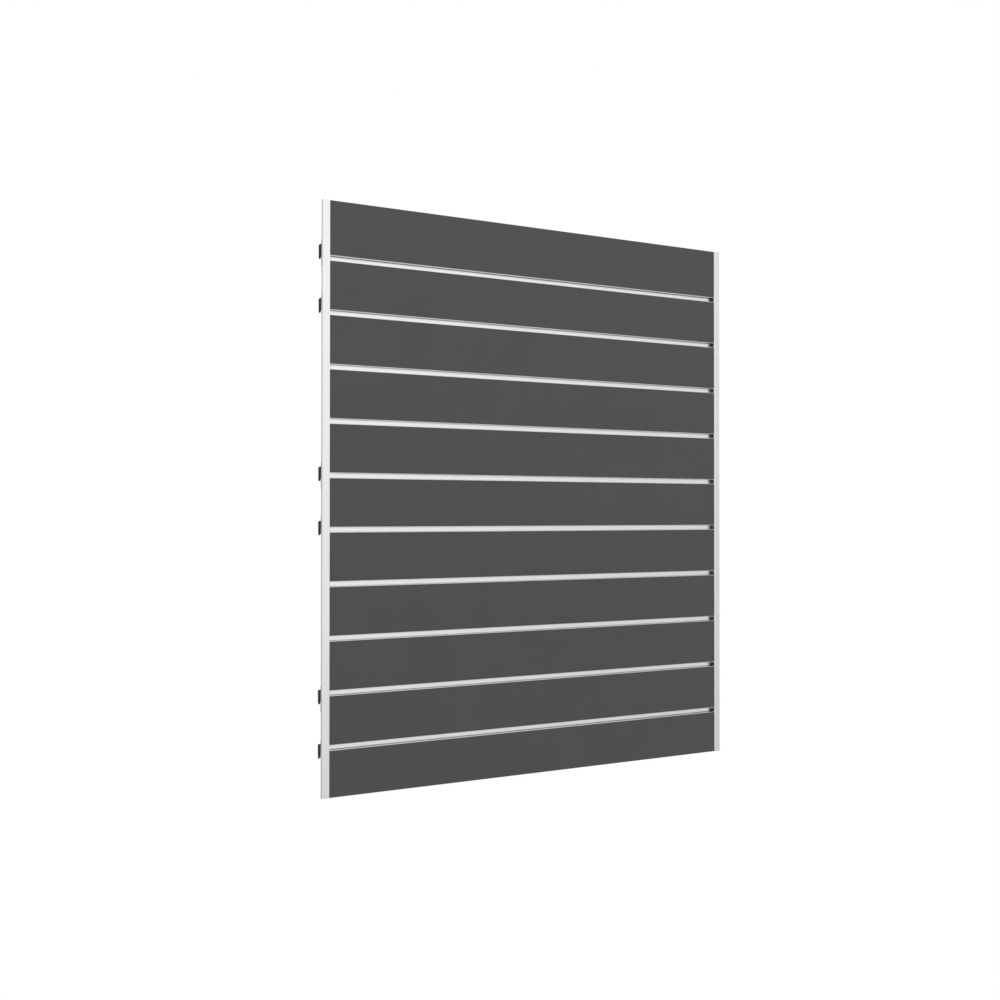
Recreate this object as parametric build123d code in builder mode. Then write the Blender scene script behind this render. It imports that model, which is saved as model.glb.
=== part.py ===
"""Slatwall panel that hangs by steel hooks between two slotted shop uprights.

A routed board carries ten T-slots, each lined with an aluminium insert and closed at
both ends by a plug.  An aluminium trim covers each end of the board, and three steel
brackets per side carry the hooks.

Frame: millimetres, X to the right seen from the front, the front faces -Y, Z up.
The origin is the centre of the board's rear face, which lies in the plane Y = 0.
"""
import os

from build123d import *

# ---- Driving dimensions -------------------------------------------------------------

PANEL_WIDTH = 960.0           # over both edge trims
PANEL_HEIGHT = 1098.0         # over both edge bands
BOARD_THICKNESS = 18.0
BAND_THICKNESS = 1.0          # plastic edge band along the top and the bottom

SLOT_COUNT = 10
SLOT_PITCH = 100.0
FIRST_SLOT_BELOW_TOP = 106.5  # panel top to the centre line of the highest slot
SLOT_MOUTH = 9.0              # clear height of the slot at the front
SLOT_CAVITY = 22.0            # clear height behind the board's lips
BOARD_LIP = 3.8               # thickness of the board in front of the cavity
GROOVE_DEPTH = 10.0           # routed depth, from the front face
INSERT_WALL = 0.8
INSERT_LIP_REACH = 1.0        # width of the insert's lip seen from the front
INSERT_LIP_PROUD = 0.6        # the lip stands this far in front of the board
INSERT_LIP_ROUND = 0.45       # radius of the lip's front edges
GROOVE_CLEARANCE = 0.1

TRIM_WIDTH = 15.0             # front flange of the edge trim
TRIM_WALL = 1.5
TRIM_RETURN = 5.5             # depth of the outer return, from the front of the flange
TRIM_COVER = 5.5              # the flange covers this much of the board's front
TRIM_WEB_DEPTH = 15.0         # the web that is screwed to the board's end

STEEL = 2.0                   # sheet thickness of the hook brackets
BRACKET_HEIGHT = 134.0
BRACKET_DEPTH = 15.0          # side leg, from the rear face forwards
BRACKET_LEVELS = (3 / 8, 0.0, -3 / 8)   # bracket centres, in panel heights
REAR_LEG_REACH = 32.0         # rear leg, inwards from the side leg
REAR_LEG_HEIGHT = 48.0
REAR_LEG_CENTRE = -7.7        # below the bracket's centre
BEND_RELIEF = 1.6             # width of the slit at each end of the bend
BEND_RADIUS = 2.4             # outside of the bend
RECESS_CLEARANCE = 0.3

HOOK_PITCH = 100.0            # between the two hooks of one bracket
HOOK_CENTRE = -4.5            # middle of the pair, below the bracket's centre
HOOK_HEIGHT = 26.6
HOOK_NECK = 13.3              # upper part, joined to the side leg
HOOK_NOTCH = 4.5              # gap for the wall of the upright
HOOK_TONGUE = 6.8             # width of the tongue behind the notch

TRIM_SCREW_COUNT = 6
TRIM_SCREW_PITCH = 200.0
TRIM_SCREW_LENGTH = 20.0
TRIM_SCREW_RADIUS = 1.5
BRACKET_SCREW_COUNT = 3
BRACKET_SCREW_PITCH = 16.0
BRACKET_SCREW_LENGTH = 13.0
BRACKET_SCREW_RADIUS = 1.75
SCREW_CLEARANCE = 0.1

# ---- Places that follow from them ---------------------------------------------------

HALF_WIDTH = PANEL_WIDTH / 2
TOP = PANEL_HEIGHT / 2
FRONT = -BOARD_THICKNESS
TRIM_INNER_EDGE = HALF_WIDTH - TRIM_WIDTH
BOARD_END = TRIM_INNER_EDGE + TRIM_COVER
WEB_OUTSIDE = BOARD_END + TRIM_WALL
HOOK_OUTSIDE = WEB_OUTSIDE + STEEL
SLOT_LEVELS = [TOP - FIRST_SLOT_BELOW_TOP - SLOT_PITCH * i for i in range(SLOT_COUNT)]

HALF_MOUTH = SLOT_MOUTH / 2
HALF_CAVITY = SLOT_CAVITY / 2
HALF_THROAT = HALF_MOUTH + INSERT_WALL
HALF_LINER = HALF_CAVITY + INSERT_WALL
LIP_BACK = FRONT + BOARD_LIP
LINER_BACK = FRONT + GROOVE_DEPTH - GROOVE_CLEARANCE

TRIM_SCREW_Y = FRONT / 2
TRIM_SCREW_TOP = SLOT_LEVELS[0] + SLOT_PITCH / 2
TRIM_SCREW_LEVELS = [TRIM_SCREW_TOP - TRIM_SCREW_PITCH * i for i in range(TRIM_SCREW_COUNT)]
BRACKET_CENTRES = [level * PANEL_HEIGHT for level in BRACKET_LEVELS]
BRACKET_SCREW_X = HOOK_OUTSIDE - REAR_LEG_REACH / 2 - STEEL
BRACKET_SCREW_STEPS = [(i - 1) * BRACKET_SCREW_PITCH for i in range(BRACKET_SCREW_COUNT)]
REAR_LEG_INNER_EDGE = HOOK_OUTSIDE - REAR_LEG_REACH

LEFT_MIRROR = Plane.YZ
SIDES = (("left", -1), ("right", 1))


def t_outline(half_mouth, half_cavity, lip_back, back):
    """Corners (y, z) of a T-slot's section, open towards the front face."""
    upper = [(FRONT, half_mouth), (lip_back, half_mouth), (lip_back, half_cavity), (back, half_cavity)]
    return upper + [(y, -z) for y, z in reversed(upper)]


def bracket_screw_places(side):
    """Centres of the bracket screws on one side, on the rear face."""
    return [(side * BRACKET_SCREW_X, 0, centre + REAR_LEG_CENTRE + step)
            for centre in BRACKET_CENTRES for step in BRACKET_SCREW_STEPS]


# ---- Board --------------------------------------------------------------------------

def slat_board():
    """The routed board, with recesses for the brackets' rear legs and all screw holes."""
    core_height = PANEL_HEIGHT - 2 * BAND_THICKNESS
    groove = t_outline(HALF_THROAT + GROOVE_CLEARANCE, HALF_LINER + GROOVE_CLEARANCE,
                       LIP_BACK, FRONT + GROOVE_DEPTH)
    with BuildPart() as board:
        with BuildSketch(Plane.YZ):
            with Locations((FRONT / 2, 0)):
                Rectangle(BOARD_THICKNESS, core_height)
            with Locations(*[(0, level) for level in SLOT_LEVELS]):
                Polygon(*groove, align=None, mode=Mode.SUBTRACT)
        extrude(amount=BOARD_END, both=True)
        for _, side in SIDES:
            recess_width = BOARD_END - REAR_LEG_INNER_EDGE + RECESS_CLEARANCE
            recess_x = side * (BOARD_END - recess_width / 2)
            for centre in BRACKET_CENTRES:
                with Locations((recess_x, -STEEL / 2, centre + REAR_LEG_CENTRE)):
                    Box(recess_width, STEEL, REAR_LEG_HEIGHT + 2 * RECESS_CLEARANCE, mode=Mode.SUBTRACT)
            with Locations(*[Location(place, (90, 0, 0)) for place in bracket_screw_places(side)]):
                Cylinder(BRACKET_SCREW_RADIUS, BRACKET_SCREW_LENGTH,
                         align=(Align.CENTER, Align.CENTER, Align.MIN), mode=Mode.SUBTRACT)
            hole_depth = TRIM_SCREW_LENGTH - TRIM_WALL
            with Locations(*[(side * (BOARD_END - hole_depth / 2), TRIM_SCREW_Y, level)
                             for level in TRIM_SCREW_LEVELS]):
                Cylinder(TRIM_SCREW_RADIUS, hole_depth, rotation=(0, 90, 0), mode=Mode.SUBTRACT)
    board.part.label = "slat_board"
    export_step(board.part, "parts/slat_board.step")


def edge_band(name, side):
    """Plastic band on the board's top (side 1) or bottom (side -1) edge."""
    with BuildPart() as band:
        with Locations((0, FRONT / 2, side * (TOP - BAND_THICKNESS / 2))):
            Box(2 * BOARD_END, BOARD_THICKNESS, BAND_THICKNESS)
        outer = band.faces().sort_by(Axis.Z)[-1 if side > 0 else 0]
        fillet(outer.edges().filter_by(Axis.X), radius=0.6 * BAND_THICKNESS)
    band.part.label = name
    export_step(band.part, f"parts/{name}.step")


# ---- Slots --------------------------------------------------------------------------

def slot_insert(number, level):
    """Extruded liner of one slot, with thin lips over the edges of the mouth."""
    lip_front = FRONT - INSERT_LIP_PROUD
    upper = [
        (lip_front, HALF_MOUTH),
        (lip_front, HALF_MOUTH + INSERT_LIP_REACH),
        (FRONT, HALF_MOUTH + INSERT_LIP_REACH),
        (FRONT, HALF_THROAT),
        (LIP_BACK, HALF_THROAT),
        (LIP_BACK, HALF_LINER),
        (LINER_BACK, HALF_LINER),
    ]
    inside = [
        (LINER_BACK - INSERT_WALL, HALF_CAVITY),
        (LIP_BACK + INSERT_WALL, HALF_CAVITY),
        (LIP_BACK + INSERT_WALL, HALF_MOUTH),
    ]
    outline = upper + [(y, -z) for y, z in reversed(upper)]
    outline += [(y, -z) for y, z in reversed(inside)] + inside
    with BuildPart() as insert:
        with BuildSketch(Plane.YZ) as section:
            with Locations((0, level)):
                Polygon(*outline, align=None)
            fillet(section.vertices().group_by(Axis.X)[0], radius=INSERT_LIP_ROUND)
        extrude(amount=TRIM_INNER_EDGE, both=True)
    name = f"slot_insert_{number:02d}"
    insert.part.label = name
    export_step(insert.part, f"parts/{name}.step")


def slot_plug(word, side, number, level):
    """Plastic plug that closes one end of a groove, under the edge trim."""
    outline = t_outline(HALF_THROAT, HALF_LINER, LIP_BACK + GROOVE_CLEARANCE, LINER_BACK)
    with BuildPart() as plug:
        with BuildSketch(Plane.YZ.offset(side * TRIM_INNER_EDGE)):
            with Locations((0, level)):
                Polygon(*outline, align=None)
        extrude(amount=side * TRIM_COVER)
    name = f"slot_plug_{word}_{number:02d}"
    plug.part.label = name
    export_step(plug.part, f"parts/{name}.step")


# ---- Edge trims ---------------------------------------------------------------------

def edge_trim(word, side):
    """Extruded trim: front flange, outer return, and a web screwed to the board's end."""
    flange_front = FRONT - TRIM_WALL
    return_back = flange_front + TRIM_RETURN
    web_back = FRONT + TRIM_WEB_DEPTH
    with BuildPart() as trim:
        with BuildSketch(Plane.XY.offset(-TOP)) as section:
            Polygon(
                (TRIM_INNER_EDGE, flange_front),
                (HALF_WIDTH, flange_front),
                (HALF_WIDTH, return_back),
                (HALF_WIDTH - TRIM_WALL, return_back),
                (HALF_WIDTH - TRIM_WALL, FRONT),
                (WEB_OUTSIDE, FRONT),
                (WEB_OUTSIDE, web_back),
                (BOARD_END, web_back),
                (BOARD_END, FRONT),
                (TRIM_INNER_EDGE, FRONT),
                align=None,
            )
            fillet(section.vertices().group_by(Axis.Y)[0], radius=0.4 * TRIM_WALL)
        extrude(amount=PANEL_HEIGHT)
        seat = Plane(origin=(WEB_OUTSIDE, TRIM_SCREW_Y, 0), x_dir=(0, 1, 0), z_dir=(1, 0, 0))
        with Locations(seat):
            with Locations(*[(0, level) for level in TRIM_SCREW_LEVELS]):
                CounterSinkHole(TRIM_SCREW_RADIUS + SCREW_CLEARANCE,
                                counter_sink_radius=2 * TRIM_SCREW_RADIUS - SCREW_CLEARANCE,
                                depth=TRIM_WALL)
    shape = trim.part if side > 0 else mirror(trim.part, about=LEFT_MIRROR)
    name = f"edge_trim_{word}"
    shape.label = name
    export_step(shape, f"parts/{name}.step")


# ---- Hook brackets ------------------------------------------------------------------

def hook_outline(top):
    """Corners (y, z) of one hook: a neck to the rear and a tongue that hangs down."""
    notch = HOOK_NOTCH
    back = HOOK_NOTCH + HOOK_TONGUE
    tip = top - HOOK_HEIGHT
    lead_in = HOOK_TONGUE / 3
    return [
        (-STEEL, top),
        (back, top),
        (back, tip + lead_in),
        (back - lead_in / 2, tip),
        (notch + lead_in, tip),
        (notch, tip + 2 * lead_in),
        (notch, top - HOOK_NECK),
        (-STEEL, top - HOOK_NECK),
    ]


def is_bend_long(edge):
    """True for an edge as long as the fold between the side leg and the rear leg."""
    return abs(edge.length - REAR_LEG_HEIGHT) < 0.01


def hook_bracket(word, side, level_name, centre):
    """Folded steel bracket: side leg with two hooks, rear leg let into the board."""
    hook_tops = [centre + HOOK_CENTRE + step + HOOK_HEIGHT / 2 for step in (HOOK_PITCH / 2, -HOOK_PITCH / 2)]
    with BuildPart() as bracket:
        with BuildSketch(Plane.YZ.offset(WEB_OUTSIDE)) as side_leg:
            with Locations((-BRACKET_DEPTH / 2, centre)):
                RectangleRounded(BRACKET_DEPTH, BRACKET_HEIGHT, radius=STEEL)
            for hook_top in hook_tops:
                Polygon(*hook_outline(hook_top), align=None)
            rear_corners = side_leg.vertices().group_by(Axis.X)[-1].sort_by(Axis.Y)
            fillet(rear_corners[1::2], radius=1.5 * STEEL)
        extrude(amount=STEEL)
        with Locations((HOOK_OUTSIDE - REAR_LEG_REACH / 2, -STEEL / 2, centre + REAR_LEG_CENTRE)):
            Box(REAR_LEG_REACH, STEEL, REAR_LEG_HEIGHT)
        relief_step = (REAR_LEG_HEIGHT + BEND_RELIEF) / 2
        with Locations(*[(WEB_OUTSIDE + STEEL / 2, -STEEL, centre + REAR_LEG_CENTRE + step)
                         for step in (-relief_step, relief_step)]):
            Box(STEEL, 2 * STEEL, BEND_RELIEF, mode=Mode.SUBTRACT)
        bend_edges = bracket.edges().filter_by(Axis.Z).filter_by(is_bend_long).group_by(Axis.X)
        fillet(bend_edges[-1], radius=BEND_RADIUS)
        leg = Plane(origin=(BRACKET_SCREW_X, 0, centre + REAR_LEG_CENTRE), x_dir=(0, 0, 1), z_dir=(0, 1, 0))
        with Locations(leg):
            with Locations(*[(step, 0) for step in BRACKET_SCREW_STEPS]):
                CounterSinkHole(BRACKET_SCREW_RADIUS + SCREW_CLEARANCE,
                                counter_sink_radius=2 * BRACKET_SCREW_RADIUS + SCREW_CLEARANCE,
                                depth=STEEL)
    shape = bracket.part if side > 0 else mirror(bracket.part, about=LEFT_MIRROR)
    name = f"hook_bracket_{word}_{level_name}"
    shape.label = name
    export_step(shape, f"parts/{name}.step")


# ---- Screws -------------------------------------------------------------------------

def countersunk_screw(radius, length):
    """Cross-head screw along -Z, its flat head's top in the plane Z = 0."""
    head_radius = 2 * radius - SCREW_CLEARANCE
    head_height = head_radius - radius
    with BuildPart() as screw:
        with BuildSketch(Plane.XZ):
            Polygon(
                (0, 0),
                (head_radius, 0),
                (radius, -head_height),
                (radius, radius - length),
                (0, -length),
                align=None,
            )
        revolve(axis=Axis.Z)
        for turn in (0, 90):
            Box(1.3 * head_radius, 0.25 * head_radius, 1.2 * head_height, rotation=(0, 0, turn),
                mode=Mode.SUBTRACT)
    return screw.part


def bracket_screws():
    """All screws that hold the brackets' rear legs to the board."""
    screw = countersunk_screw(BRACKET_SCREW_RADIUS, BRACKET_SCREW_LENGTH)
    with BuildPart() as screws:
        for _, side in SIDES:
            with Locations(*[Location(place, (-90, 0, 0)) for place in bracket_screw_places(side)]):
                add(screw)
    screws.part.label = "bracket_screws"
    export_step(screws.part, "parts/bracket_screws.step")


def trim_screws():
    """All screws that hold the trims' webs to the ends of the board."""
    screw = countersunk_screw(TRIM_SCREW_RADIUS, TRIM_SCREW_LENGTH)
    with BuildPart() as screws:
        for _, side in SIDES:
            places = [(side * WEB_OUTSIDE, TRIM_SCREW_Y, level) for level in TRIM_SCREW_LEVELS]
            with Locations(*[Location(place, (0, side * 90, 0)) for place in places]):
                add(screw)
    screws.part.label = "trim_screws"
    export_step(screws.part, "parts/trim_screws.step")


# ---- The whole panel ----------------------------------------------------------------

os.makedirs("parts", exist_ok=True)
slat_board()
edge_band("top_edge_band", 1)
edge_band("bottom_edge_band", -1)
for slot_number, slot_level in enumerate(SLOT_LEVELS, start=1):
    slot_insert(slot_number, slot_level)
    for side_word, side_sign in SIDES:
        slot_plug(side_word, side_sign, slot_number, slot_level)
for side_word, side_sign in SIDES:
    edge_trim(side_word, side_sign)
    for bracket_level, bracket_centre in zip(("top", "middle", "bottom"), BRACKET_CENTRES):
        hook_bracket(side_word, side_sign, bracket_level, bracket_centre)
bracket_screws()
trim_screws()
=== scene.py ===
"""Looks of the slatwall panel: materials for every CAD node, studio light and camera."""
import math

import bpy
from mathutils import Euler, Matrix, Vector


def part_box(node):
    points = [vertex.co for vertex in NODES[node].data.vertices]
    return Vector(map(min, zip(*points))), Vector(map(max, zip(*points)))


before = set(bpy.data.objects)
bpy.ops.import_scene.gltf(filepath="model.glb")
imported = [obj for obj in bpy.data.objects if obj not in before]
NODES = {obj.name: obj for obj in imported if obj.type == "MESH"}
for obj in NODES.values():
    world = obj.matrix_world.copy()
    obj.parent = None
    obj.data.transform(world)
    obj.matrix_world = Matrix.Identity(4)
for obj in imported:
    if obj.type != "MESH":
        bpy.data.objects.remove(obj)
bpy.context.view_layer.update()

# ---- Camera: where the photograph was taken from, in metres and degrees -------------

CAMERA_PLACE = Vector((-1.5678, -2.3193, -0.0274))
CAMERA_YAW = 32.646          # turned from +Y towards +X
CAMERA_PITCH = 0.558         # above the horizon
CAMERA_ROLL = 0.027          # leans to its left, so the picture turns clockwise
FIELD_OF_VIEW = 39.83

# ---- Places that the materials and the floor need, in metres ------------------------

BOARD_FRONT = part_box("slat_board")[0].y
BOARD_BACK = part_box("slat_board")[1].y
PANEL_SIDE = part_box("edge_trim_right")[1].x
PANEL_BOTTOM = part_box("bottom_edge_band")[0].z
LAMINATE = 0.0006            # thickness of the melamine-faced layer
PAPER = 0.0002               # thickness of the backing paper
LAYER_EDGE = 0.00001         # over which one layer gives way to the next
LIP_EDGE = 0.0001            # the same for the lips' painted shade, in front of the board
SIDE_DEPTH = 0.0012          # how far the painted shade on a trim's outer side reaches in from its side
SIDE_EDGE = 0.0002           # and over which it begins

# ---- Colours, linear, each the darkest and lightest of a material's pattern ---------

ANTHRACITE = ((0.0582, 0.0582, 0.0557), (0.0632, 0.0632, 0.0607))
FIBRE = ((0.20, 0.13, 0.075), (0.34, 0.235, 0.145))
BACKING = ((0.42, 0.41, 0.385), (0.54, 0.53, 0.505))
BLACK_COAT = ((0.010, 0.010, 0.010), (0.016, 0.016, 0.016))
BLACK_PLASTIC = ((0.040, 0.040, 0.039), (0.050, 0.050, 0.049))
BLACK_PLATING = ((0.03, 0.03, 0.03), (0.06, 0.06, 0.06))
ZINC_PLATING = ((0.58, 0.59, 0.60), (0.70, 0.71, 0.72))

# ---- Tones of the extrusions, with painted light and shade on some faces ------------

INSERT_TONE = (0.600, 0.603, 0.595)
# painted shade: a darker copy of the insert's aluminium on the lips' faces, damping their highlight
PAINTED_SHADE_LIP_TONE = (0.493, 0.495, 0.488)
# painted light: a lighter copy of the insert's aluminium on the slots' up-facing faces
PAINTED_LIGHT_FLOOR_TONE = (0.780, 0.783, 0.775)
# painted light: a lighter copy of the insert's aluminium on the down-facing faces under the lips,
# lifting the shade there
PAINTED_LIGHT_UNDERSIDE_TONE = (0.920, 0.923, 0.915)
TRIM_TONE = (0.567, 0.569, 0.559)
# painted shade: a darker copy of the trim's aluminium on its outer sides
PAINTED_SHADE_SIDE_TONE = (0.390, 0.390, 0.385)
INSERT_ROUGHNESS = 0.31
TRIM_ROUGHNESS = 0.30
AS_ROUGH, SMOOTHER = 1.0, 0.4      # a painted face's share of the roughness
STREAK = 0.025               # how far die lines go from an extrusion's tone, as a share of it
FACING = (0.5, 0.95)         # a normal's part along an axis, where a painted tone begins and is whole
FACING_SIDE = (0.30, 0.85)   # the same for the trims' outer sides

# ---- Patterns -----------------------------------------------------------------------

NOISE_RANGE = (0.3, 0.7)     # nearly all of a noise's values lie in it
SPECK_RANGE = (0.35, 0.65)   # narrower, for sharper specks
GRAIN_AND_MOTTLE_RANGE = (0.7, 1.3)    # of two noises added up
FIBRE_STRETCH = (1.0, 2.2, 1.0)        # scales along X, Y and Z: a small one makes a pattern long
PAPER_STRETCH = (1.0, 1.0, 0.25)
BAND_STRETCH = (0.02, 1.0, 1.0)
DIE_LINE_STRETCH = 0.004     # along the die lines only
ALONG_X, ALONG_Z = 0, 2      # which of the three they follow

MELAMINE_ROUGHNESS = (0.50, 0.60)
MELAMINE_SPECULAR = 0.35
BAND_ROUGHNESS = (0.38, 0.48)
PLATING_ROUGHNESS = (0.28, 0.42)
FROST = 0.03                 # how far an extrusion's roughness goes up and down from point to point
CLOUD = 0.07                 # and over a wide area, as a share
PEEL = 0.05                  # how far a black coat's roughness goes up and down


# ---- Nodes --------------------------------------------------------------------------

def shader(name):
    """A new node material; returns the material, its tree and its Principled shader."""
    material = bpy.data.materials.new(name)
    material.use_nodes = True
    return material, material.node_tree, material.node_tree.nodes["Principled BSDF"]


def add_node(tree, kind, **values):
    """A node of that kind. A value named like a socket sets the socket, any other a property."""
    node = tree.nodes.new(kind)
    for key, value in values.items():
        socket = next((s for s in node.inputs if s.name.replace(" ", "_").lower() == key), None)
        if socket is None:
            setattr(node, key, value)
        else:
            socket.default_value = value
    return node


def place_of(tree):
    """The point's place in the frame, in metres."""
    return add_node(tree, "ShaderNodeTexCoord").outputs["Object"]


def part_of(tree, vector, axis):
    """The vector's ordinate along the axis "X", "Y" or "Z"."""
    parts = add_node(tree, "ShaderNodeSeparateXYZ")
    tree.links.new(vector, parts.inputs[0])
    return parts.outputs[axis]


def place_along(tree, axis):
    """The point's ordinate along the axis, in metres."""
    return part_of(tree, place_of(tree), axis)


def normal_along(tree, axis):
    """The surface normal's ordinate along the axis."""
    return part_of(tree, add_node(tree, "ShaderNodeNewGeometry").outputs["Normal"], axis)


def stretched(tree, place, scale):
    """The place scaled by a different amount along each axis."""
    mapping = add_node(tree, "ShaderNodeMapping", scale=scale)
    tree.links.new(place, mapping.inputs["Vector"])
    return mapping.outputs["Vector"]


def noise(tree, vector, scale, detail=2.0, roughness=0.5):
    """A noise texture's value, 0 to 1. The scale is in cells per metre."""
    node = add_node(tree, "ShaderNodeTexNoise", scale=scale, detail=detail, roughness=roughness)
    tree.links.new(vector, node.inputs["Vector"])
    return node.outputs["Fac"]


def remap(tree, value, low, high, to_low=0.0, to_high=1.0):
    """The value taken from the range low..high to to_low..to_high, clamped."""
    node = add_node(tree, "ShaderNodeMapRange")
    ends = {"From Min": low, "From Max": high, "To Min": to_low, "To Max": to_high}
    for end, number in ends.items():
        node.inputs[end].default_value = number
    tree.links.new(value, node.inputs["Value"])
    return node.outputs["Result"]


def spread(tree, value, to_low=0.0, to_high=1.0):
    """A noise's value, spread over the range to_low..to_high."""
    return remap(tree, value, *NOISE_RANGE, to_low, to_high)


def combined(tree, operation, first, second):
    """The two values added, multiplied or the like: a Math node's operation."""
    node = add_node(tree, "ShaderNodeMath", operation=operation)
    tree.links.new(first, node.inputs[0])
    tree.links.new(second, node.inputs[1])
    return node.outputs[0]


def size_of(tree, value):
    """The value without its sign."""
    node = add_node(tree, "ShaderNodeMath", operation="ABSOLUTE")
    tree.links.new(value, node.inputs[0])
    return node.outputs[0]


def blend_colours(tree, factor, first, second):
    """Colour first where the factor is 0, second where it is 1; each a colour or a socket."""
    node = add_node(tree, "ShaderNodeMix", data_type="RGBA")
    sockets = [s for s in node.inputs if s.type == "RGBA"]
    tree.links.new(factor, node.inputs["Factor"])
    for socket, colour in zip(sockets, (first, second)):
        if isinstance(colour, tuple):
            socket.default_value = (*colour, 1.0)
        else:
            tree.links.new(colour, socket)
    return next(s for s in node.outputs if s.type == "RGBA")


def bump(tree, principled, height, depth, strength):
    """Bends the shader's normal by a height of 0..1, which stands for depth metres."""
    node = add_node(tree, "ShaderNodeBump", strength=strength, distance=depth)
    tree.links.new(height, node.inputs["Height"])
    tree.links.new(node.outputs["Normal"], principled.inputs["Normal"])


# ---- Materials ----------------------------------------------------------------------

def melamine_colour(tree, place):
    """Anthracite melamine: fine pearl grain over a very soft, wide mottle."""
    grain = noise(tree, place, scale=1400.0, detail=3.0)
    mottle = noise(tree, place, scale=9.0, detail=1.0)
    factor = remap(tree, combined(tree, "ADD", grain, mottle), *GRAIN_AND_MOTTLE_RANGE)
    return blend_colours(tree, factor, *ANTHRACITE)


def board_material():
    """Melamine on the front, backing paper on the rear, fibreboard in between."""
    material, tree, principled = shader("melamine_faced_fibreboard")
    place = place_of(tree)
    depth = place_along(tree, "Y")
    fibres = noise(tree, stretched(tree, place, FIBRE_STRETCH), scale=900.0, detail=6.0, roughness=0.7)
    paper = noise(tree, stretched(tree, place, PAPER_STRETCH), scale=220.0, detail=6.0, roughness=0.75)
    in_front = remap(tree, depth, BOARD_FRONT + LAMINATE, BOARD_FRONT + LAMINATE - LAYER_EDGE)
    at_back = remap(tree, depth, BOARD_BACK - PAPER - LAYER_EDGE, BOARD_BACK - PAPER)
    core = blend_colours(tree, fibres, *FIBRE)
    colour = blend_colours(tree, in_front, core, melamine_colour(tree, place))
    colour = blend_colours(tree, at_back, colour, blend_colours(tree, spread(tree, paper), *BACKING))
    tree.links.new(colour, principled.inputs["Base Color"])
    grain = noise(tree, place, scale=1700.0, detail=2.0)
    tree.links.new(spread(tree, grain, *MELAMINE_ROUGHNESS), principled.inputs["Roughness"])
    principled.inputs["Specular IOR Level"].default_value = MELAMINE_SPECULAR
    bump(tree, principled, grain, depth=0.00004, strength=0.35)
    return material


def band_material():
    """Plastic edge band, a little smoother than the melamine that it matches."""
    material, tree, principled = shader("anthracite_edge_band")
    place = place_of(tree)
    tree.links.new(melamine_colour(tree, place), principled.inputs["Base Color"])
    streaks = noise(tree, stretched(tree, place, BAND_STRETCH), scale=1500.0)
    tree.links.new(spread(tree, streaks, *BAND_ROUGHNESS), principled.inputs["Roughness"])
    bump(tree, principled, streaks, depth=0.00003, strength=0.3)
    return material


def faces_down(tree):
    """1 where the surface faces down, 0 where it is upright or faces up."""
    return remap(tree, normal_along(tree, "Z"), *(-part for part in FACING))


def faces_up(tree):
    """1 where the surface faces up, 0 where it is upright or faces down."""
    return remap(tree, normal_along(tree, "Z"), *FACING)


def painted_shade_side(tree):
    """1 on the outermost faces of the trims, which face the sides, 0 elsewhere: where their painted
    shade lies.
    """
    sideways = remap(tree, size_of(tree, normal_along(tree, "X")), *FACING_SIDE)
    start = PANEL_SIDE - SIDE_DEPTH
    outside = remap(tree, size_of(tree, place_along(tree, "X")), start, start + SIDE_EDGE)
    return combined(tree, "MULTIPLY", sideways, outside)


def before_board(tree):
    """1 in front of the board's face, where the lips of the inserts are, 0 behind it."""
    return remap(tree, place_along(tree, "Y"), BOARD_FRONT, BOARD_FRONT - LIP_EDGE)


def lined_colour(tree, streak, tone):
    """The tone, slightly darker and lighter along the die lines."""
    dark, light = (tuple(part * share for part in tone) for share in (1 - STREAK, 1 + STREAK))
    return blend_colours(tree, streak, dark, light)


def aluminium_material(name, along, roughness, tone, *painted_light_faces):
    """Satin anodised extrusion, with fine die lines along one axis.

    Each of the last arguments paints light or shade on some of its faces: where it lies, its tone and
    its share of the roughness.
    """
    material, tree, principled = shader(name)
    place = place_of(tree)
    squeeze = [1.0, 1.0, 1.0]
    squeeze[along] = DIE_LINE_STRETCH
    lines = noise(tree, stretched(tree, place, squeeze), scale=2600.0, detail=3.0, roughness=0.6)
    streak = spread(tree, lines)
    frost = noise(tree, place, scale=3200.0, detail=1.0)
    cloud = noise(tree, place, scale=14.0, detail=2.0)
    colour = lined_colour(tree, streak, tone)
    rough = combined(tree, "MULTIPLY", spread(tree, cloud, 1 - CLOUD, 1 + CLOUD),
                     spread(tree, frost, roughness - FROST, roughness + FROST))
    for where, own_tone, share in painted_light_faces:
        there = where(tree)
        colour = blend_colours(tree, there, colour, lined_colour(tree, streak, own_tone))
        if share != AS_ROUGH:
            rough = combined(tree, "MULTIPLY", rough, remap(tree, there, 0.0, 1.0, 1.0, share))
    tree.links.new(colour, principled.inputs["Base Color"])
    tree.links.new(rough, principled.inputs["Roughness"])
    principled.inputs["Metallic"].default_value = 1.0
    bump(tree, principled, lines, depth=0.00002, strength=0.25)
    return material


def black_material(name, colours, roughness, specular):
    """Black powder coat or moulded plastic, with a fine orange peel."""
    material, tree, principled = shader(name)
    place = place_of(tree)
    peel = noise(tree, place, scale=1100.0, detail=2.0)
    speck = noise(tree, place, scale=4000.0, detail=1.0)
    colour = blend_colours(tree, remap(tree, speck, *SPECK_RANGE), *colours)
    tree.links.new(colour, principled.inputs["Base Color"])
    rough = spread(tree, peel, roughness - PEEL, roughness + PEEL)
    tree.links.new(rough, principled.inputs["Roughness"])
    principled.inputs["Specular IOR Level"].default_value = specular
    bump(tree, principled, peel, depth=0.00008, strength=0.35)
    return material


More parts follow.
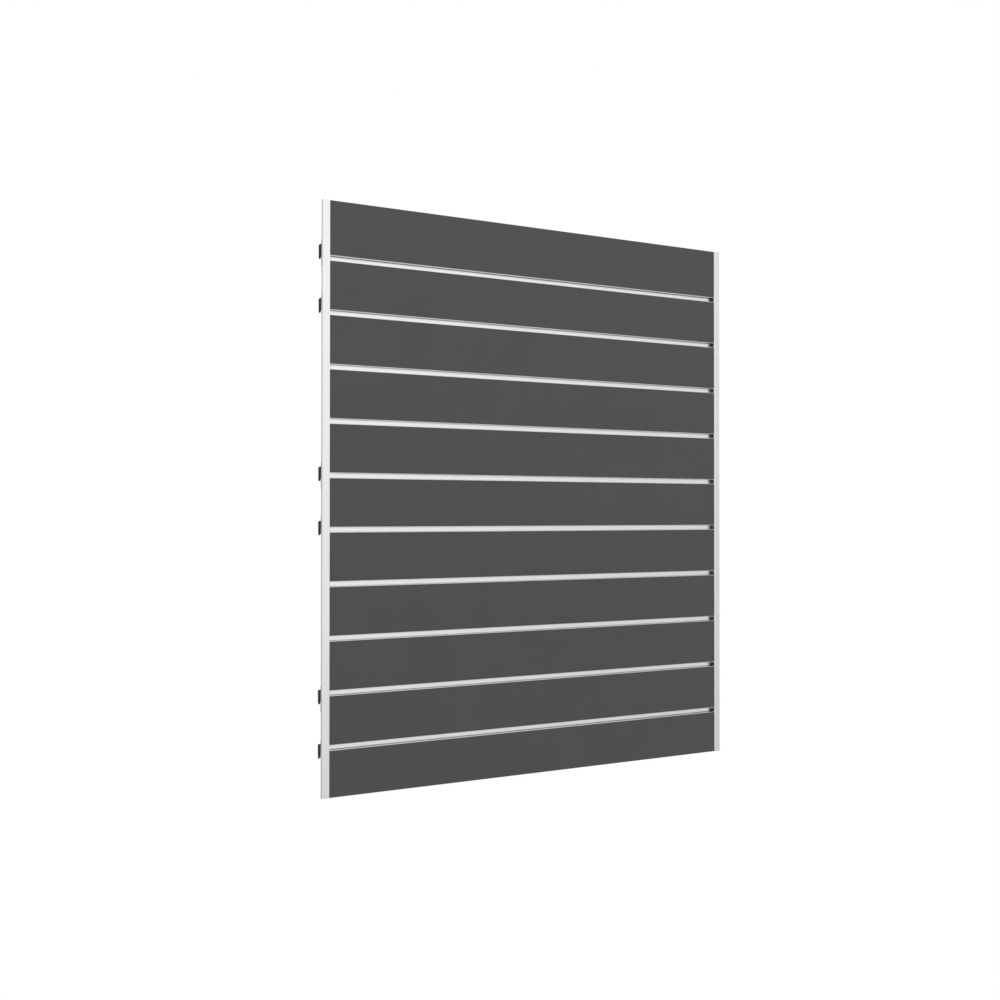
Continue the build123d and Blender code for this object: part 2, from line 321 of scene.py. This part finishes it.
def screw_material(name, colours):
    """Plated steel, with slightly uneven plating."""
    material, tree, principled = shader(name)
    place = place_of(tree)
    plating = noise(tree, place, scale=700.0, detail=3.0)
    colour = blend_colours(tree, spread(tree, plating), *colours)
    tree.links.new(colour, principled.inputs["Base Color"])
    principled.inputs["Metallic"].default_value = 1.0
    tree.links.new(spread(tree, plating, *PLATING_ROUGHNESS), principled.inputs["Roughness"])
    bump(tree, principled, noise(tree, place, scale=2500.0), depth=0.00003, strength=0.3)
    return material


def dress(material, *names):
    """Puts the material on every slot of the CAD nodes whose names start so."""
    for node_name, node in NODES.items():
        if node_name.startswith(names):
            for slot in node.material_slots:
                slot.material = material


dress(board_material(), "slat_board")
dress(band_material(), "top_edge_band", "bottom_edge_band")
# The inserts get painted light on their up- and down-facing faces and painted shade on their lips.
dress(aluminium_material("satin_aluminium_insert", ALONG_X, INSERT_ROUGHNESS, INSERT_TONE,
                         (faces_up, PAINTED_LIGHT_FLOOR_TONE, AS_ROUGH),
                         (before_board, PAINTED_SHADE_LIP_TONE, AS_ROUGH),
                         (faces_down, PAINTED_LIGHT_UNDERSIDE_TONE, SMOOTHER)), "slot_insert")
# The trims get painted shade on their outer sides.
dress(aluminium_material("satin_aluminium_trim", ALONG_Z, TRIM_ROUGHNESS, TRIM_TONE,
                         (painted_shade_side, PAINTED_SHADE_SIDE_TONE, AS_ROUGH)), "edge_trim")
dress(black_material("black_powder_coat", BLACK_COAT, roughness=0.62, specular=0.12), "hook_bracket")
dress(black_material("black_moulded_plastic", BLACK_PLASTIC, roughness=0.6, specular=0.5), "slot_plug")
dress(screw_material("black_screw", BLACK_PLATING), "bracket_screws")
dress(screw_material("zinc_screw", ZINC_PLATING), "trim_screws")


# ---- Studio -------------------------------------------------------------------------

WHITE = (1.0, 1.0, 1.0, 1.0)
LIGHT_RISE = (-0.55, -0.43, 0.65)   # how the light rises towards +X, +Y and +Z
RISE_ENDS = (1.0, 1.0, 0.3)         # a direction's ordinates, past which it rises no more
DOME_LIGHT = (-0.25, 0.38, 0.42, 1.05)     # the rise's two ends, then the strength at each
BACKGROUND = (-0.122, 0.33, 1.0, 1.8)      # the same for what shows: white, up to the key light

FLOOR_HALF = 4.0             # metres from the floor's middle to its edge
FLOOR_DROP = 1.05            # metres from the panel's bottom down to the floor
FLOOR_GREY = (0.66, 0.66, 0.658, 1.0)
FLOOR_ROUGHNESS = 0.9
SHADOW_NEAR = 1.0            # metres from the panel: nearer, the floor keeps its shadow
SHADOW_FAR = 1.6             # and from here on it is plain white
SHADOW_SHARE = 0.75          # how much white is laid over the shadow


def ray_shows_background(tree):
    """1 for a ray of the camera, of a reflection or through glass, 0 for one that lights a surface."""
    path = add_node(tree, "ShaderNodeLightPath")
    shows = path.outputs["Is Camera Ray"]
    for kind in ("Is Glossy Ray", "Is Transmission Ray"):
        shows = combined(tree, "MAXIMUM", shows, path.outputs[kind])
    return shows


def studio_world():
    """A pale dome lights the panel. What shows is white, with the soft key light at the upper left."""
    world = bpy.data.worlds.new("studio")
    bpy.context.scene.world = world
    world.use_nodes = True
    tree = world.node_tree
    tree.nodes.clear()
    direction = add_node(tree, "ShaderNodeTexCoord").outputs["Generated"]
    for operation, sign in (("MINIMUM", 1), ("MAXIMUM", -1)):
        limit = add_node(tree, "ShaderNodeVectorMath", operation=operation)
        tree.links.new(direction, limit.inputs[0])
        limit.inputs[1].default_value = [sign * ordinate for ordinate in RISE_ENDS]
        direction = limit.outputs[0]
    rise = add_node(tree, "ShaderNodeVectorMath", operation="DOT_PRODUCT")
    tree.links.new(direction, rise.inputs[0])
    rise.inputs[1].default_value = LIGHT_RISE
    shown = add_node(tree, "ShaderNodeMixShader")
    tree.links.new(ray_shows_background(tree), shown.inputs[0])
    for socket, strengths in zip(shown.inputs[1:], (DOME_LIGHT, BACKGROUND)):
        glow = add_node(tree, "ShaderNodeBackground", color=WHITE)
        tree.links.new(remap(tree, rise.outputs["Value"], *strengths), glow.inputs["Strength"])
        tree.links.new(glow.outputs[0], socket)
    output = add_node(tree, "ShaderNodeOutputWorld")
    tree.links.new(shown.outputs[0], output.inputs["Surface"])


def floor_material():
    """Pale grey that lights the panel; to the camera it is white, with the panel's soft shadow."""
    material, tree, principled = shader("pale_floor")
    principled.inputs["Base Color"].default_value = FLOOR_GREY
    principled.inputs["Roughness"].default_value = FLOOR_ROUGHNESS
    flat_place = add_node(tree, "ShaderNodeVectorMath", operation="MULTIPLY")
    flat_place.inputs[1].default_value = (1.0, 1.0, 0.0)
    tree.links.new(place_of(tree), flat_place.inputs[0])
    distance = add_node(tree, "ShaderNodeVectorMath", operation="LENGTH")
    tree.links.new(flat_place.outputs[0], distance.inputs[0])
    white = remap(tree, distance.outputs["Value"], SHADOW_NEAR, SHADOW_FAR, SHADOW_SHARE, 1.0)
    glow = add_node(tree, "ShaderNodeEmission", color=WHITE, strength=1.0)
    mix = add_node(tree, "ShaderNodeMixShader")
    tree.links.new(combined(tree, "MULTIPLY", ray_shows_background(tree), white), mix.inputs[0])
    tree.links.new(principled.outputs[0], mix.inputs[1])
    tree.links.new(glow.outputs[0], mix.inputs[2])
    tree.links.new(mix.outputs[0], tree.nodes["Material Output"].inputs["Surface"])
    return material


def studio_floor():
    """A square floor below the hanging panel."""
    mesh = bpy.data.meshes.new("floor")
    level = PANEL_BOTTOM - FLOOR_DROP
    corners = [(-1, -1), (1, -1), (1, 1), (-1, 1)]
    mesh.from_pydata([(x * FLOOR_HALF, y * FLOOR_HALF, level) for x, y in corners], [], [(0, 1, 2, 3)])
    mesh.materials.append(floor_material())
    floor = bpy.data.objects.new("floor", mesh)
    bpy.context.scene.collection.objects.link(floor)


def camera():
    """The camera, in the photograph's place."""
    data = bpy.data.cameras.new("camera")
    data.sensor_fit = "HORIZONTAL"
    data.angle = math.radians(FIELD_OF_VIEW)
    eye = bpy.data.objects.new("camera", data)
    eye.location = CAMERA_PLACE
    turn = Euler((math.radians(90 + CAMERA_PITCH), 0, math.radians(-CAMERA_YAW))).to_matrix()
    lean = Matrix.Rotation(math.radians(CAMERA_ROLL), 3, "Z")
    eye.rotation_euler = (turn @ lean).to_euler()
    bpy.context.scene.collection.objects.link(eye)
    bpy.context.scene.camera = eye


studio_world()
studio_floor()
camera()
bpy.context.scene.view_settings.view_transform = "Standard"
